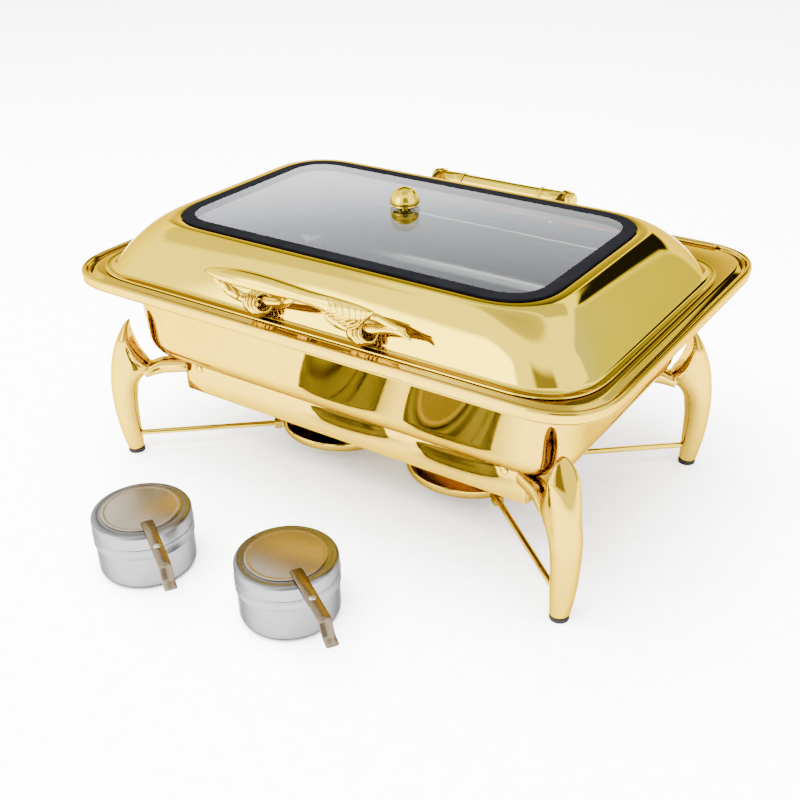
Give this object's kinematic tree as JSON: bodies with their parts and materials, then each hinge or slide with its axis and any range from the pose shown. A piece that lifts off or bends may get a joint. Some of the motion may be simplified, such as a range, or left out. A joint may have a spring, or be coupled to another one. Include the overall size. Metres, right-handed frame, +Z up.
{
  "type": "hinged-lid chafing dish",
  "caption": "Rectangular chafing dish: gold-tone stand on horn legs, water and food pans, domed glass lid on a damped rear hinge, and two fuel holders with swing covers.",
  "frame": {"origin": "on the floor, in the middle of the box round the dish and its two fuel holders", "axes": "+X along the long front towards the right, +Y towards the hinge at the back, +Z up"},
  "size_m": [0.622, 0.6124, 0.3083],
  "materials": {
    "gold": "mirror polished gold-tone",
    "gold_leg": "polished gold-tone casting",
    "gold_small": "polished gold-tone fittings",
    "gold_cast": "polished gold-tone cast handle",
    "foot_rubber": "matt black",
    "steel_pan": "semi-bright stainless",
    "steel_satin": "satin stainless",
    "steel_damper": "bright rolled stainless",
    "steel_fastener": "bright stainless",
    "clear_glass": "clear tempered",
    "black_band": "black enamel border"
  },
  "bodies": {
    "stand": {"apron": "gold", "leg_front_left": "gold_leg", "leg_front_right": "gold_leg", "leg_back_left": "gold_leg", "leg_back_right": "gold_leg", "foot_pad_front_left": "foot_rubber", "foot_pad_front_right": "foot_rubber", "foot_pad_back_left": "foot_rubber", "foot_pad_back_right": "foot_rubber", "rod_front_left": "gold_small", "rod_front_right": "gold_small", "rod_back_left": "gold_small", "rod_back_right": "gold_small", "rod_clips": "gold_small", "corner_brackets": "gold_small", "apron_screws": "gold_small", "fuel_tray_left": "gold", "fuel_tray_right": "gold"},
    "water_pan": {"water_pan": "gold", "hinge_bracket": "gold_small", "bracket_rivets": "gold_small", "hinge_barrel": "gold_small"},
    "food_pan": {"food_pan": "steel_pan"},
    "lid": {"lid_dome": "gold", "lid_glass": "clear_glass", "glass_band": "black_band", "vent_knob": "gold_small", "knob_washer": "black_band", "knob_nut": "steel_fastener", "handle_grip": "gold_cast", "handle_knots": "gold_cast", "handle_twigs": "gold_cast", "hinge_pin": "steel_fastener", "arm_cap_nuts": "steel_fastener", "hinge_arm_left": "gold_small", "hinge_arm_right": "gold_small", "hinge_sleeve_left": "gold_small", "hinge_sleeve_right": "gold_small", "hinge_cap_left": "gold_small", "hinge_cap_right": "gold_small"},
    "fuel_cup_left": {"fuel_cup_left": "steel_satin"},
    "fuel_lid_left": {"fuel_lid_left": "steel_satin", "damper_rivet_left": "steel_fastener"},
    "damper_left": {"damper_left": "steel_damper"},
    "fuel_cup_right": {"fuel_cup_right": "steel_satin"},
    "fuel_lid_right": {"fuel_lid_right": "steel_satin", "damper_rivet_right": "steel_fastener"},
    "damper_right": {"damper_right": "steel_damper"}
  },
  "joints": [
    {"name": "water_pan_lift", "type": "slide", "parent": "stand", "child": "water_pan", "axis": [0, 0, 1], "range_m": [0, 0.12]},
    {"name": "lid_hinge", "type": "hinge", "parent": "water_pan", "child": "lid", "pos_m": [0, 0.27622, 0.26], "axis": [-1, 0, 0], "range_deg": [0, 90]},
    {"name": "food_pan_lift", "type": "slide", "parent": "water_pan", "child": "food_pan", "axis": [0, 0, 1], "range_m": [0, 0.005]},
    {"name": "fuel_cup_left_lift", "type": "slide", "parent": "stand", "child": "fuel_cup_left", "axis": [0, 0, 1], "range_m": [0, 0.08]},
    {"name": "fuel_lid_left_lift", "type": "slide", "parent": "fuel_cup_left", "child": "fuel_lid_left", "axis": [0, 0, 1], "range_m": [0, 0.06]},
    {"name": "damper_left_swing", "type": "hinge", "parent": "fuel_lid_left", "child": "damper_left", "pos_m": [-0.04819, -0.2757, 0.0655], "axis": [0, 0, 1], "range_deg": [0, 70]},
    {"name": "fuel_cup_right_lift", "type": "slide", "parent": "stand", "child": "fuel_cup_right", "axis": [0, 0, 1], "range_m": [0, 0.08]},
    {"name": "fuel_lid_right_lift", "type": "slide", "parent": "fuel_cup_right", "child": "fuel_lid_right", "axis": [0, 0, 1], "range_m": [0, 0.06]},
    {"name": "damper_right_swing", "type": "hinge", "parent": "fuel_lid_right", "child": "damper_right", "pos_m": [0.11891, -0.2562, 0.0655], "axis": [0, 0, 1], "range_deg": [0, 70]}
  ]
}
